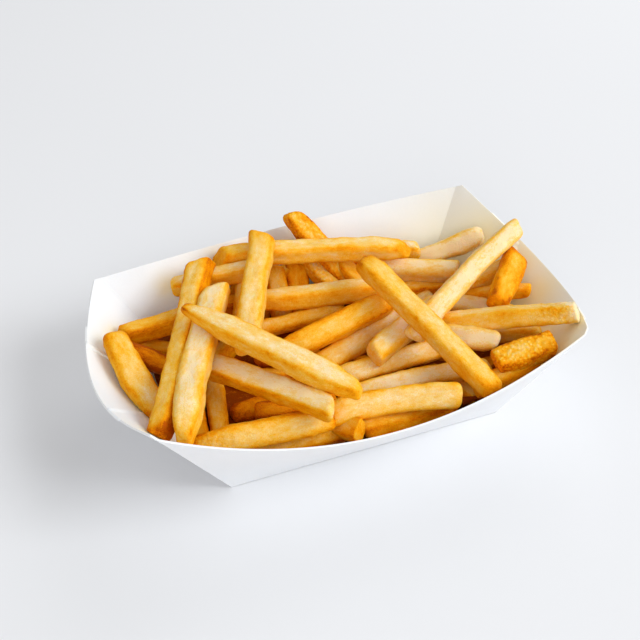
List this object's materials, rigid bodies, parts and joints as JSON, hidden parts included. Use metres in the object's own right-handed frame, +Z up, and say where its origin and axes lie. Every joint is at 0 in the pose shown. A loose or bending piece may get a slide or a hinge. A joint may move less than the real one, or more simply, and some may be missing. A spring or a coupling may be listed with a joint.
{
  "type": "tray of french fries",
  "caption": "Open paper food tray with sloping folded sides, heaped with thick golden french fries lying every way.",
  "frame": {"origin": "middle of the tray's flat bottom, on the surface it stands on", "axes": "+X along the tray's length, to the end that is at the right when its front long side is seen; +Y across the tray, to its rear long side; +Z up"},
  "size_m": [0.1732, 0.1129, 0.0494],
  "materials": {
    "paper": "smooth uncoated white paperboard",
    "fried_potato": "golden fried potato with a dry, slightly oily crust"
  },
  "bodies": {
    "root": {"tray": "paper", "fries": "fried_potato"}
  },
  "joints": []
}
